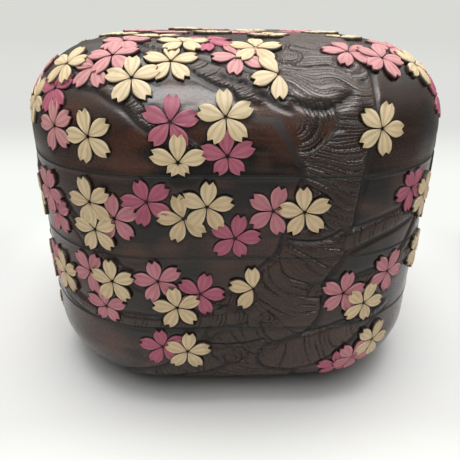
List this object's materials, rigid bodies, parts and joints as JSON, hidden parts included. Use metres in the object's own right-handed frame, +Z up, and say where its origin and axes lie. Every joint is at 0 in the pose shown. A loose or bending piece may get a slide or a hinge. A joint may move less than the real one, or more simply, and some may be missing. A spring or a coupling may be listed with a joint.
{
  "type": "stacking lacquer box",
  "caption": "Rounded square stacking box of lacquered wood with raised cherry blossoms, a hollow lid and lip rings; each tier and the lid lifts straight up off the one below.",
  "frame": {"origin": "middle of the base's underside, on the surface the box stands on", "axes": "+Z up, -Y the front with the carved tree trunk, +X the right as seen from the front"},
  "size_m": [0.1834, 0.1831, 0.1527],
  "materials": {
    "lacquer": "dark brown lacquer over carved wood, satin, worn to red-brown on raised parts",
    "lacquer_inside": "plain dark lacquer, smooth satin",
    "blossom_cream": "matte cream lacquer over carved wood",
    "blossom_pink": "matte pink lacquer over carved wood",
    "blossom_rose": "matte rose lacquer over carved wood"
  },
  "bodies": {
    "base": {"base_bowl": "lacquer", "base_lip_ring": "lacquer_inside", "base_blossoms_cream": "blossom_cream", "base_blossoms_pink": "blossom_pink", "base_blossoms_rose": "blossom_rose"},
    "middle_tier": {"middle_wall": "lacquer", "middle_floor_board": "lacquer_inside", "middle_lip_ring": "lacquer_inside", "middle_blossoms_cream": "blossom_cream", "middle_blossoms_pink": "blossom_pink", "middle_blossoms_rose": "blossom_rose"},
    "upper_tier": {"upper_wall": "lacquer", "upper_floor_board": "lacquer_inside", "upper_lip_ring": "lacquer_inside", "upper_blossoms_cream": "blossom_cream", "upper_blossoms_pink": "blossom_pink", "upper_blossoms_rose": "blossom_rose"},
    "lid": {"lid_shell": "lacquer", "lid_blossoms_cream": "blossom_cream", "lid_blossoms_pink": "blossom_pink", "lid_blossoms_rose": "blossom_rose"}
  },
  "joints": [
    {"name": "middle_lift", "type": "slide", "parent": "base", "child": "middle_tier", "axis": [0, 0, 1], "range_m": [0, 0.08]},
    {"name": "upper_lift", "type": "slide", "parent": "middle_tier", "child": "upper_tier", "axis": [0, 0, 1], "range_m": [0, 0.08]},
    {"name": "lid_lift", "type": "slide", "parent": "upper_tier", "child": "lid", "axis": [0, 0, 1], "range_m": [0, 0.08]}
  ]
}
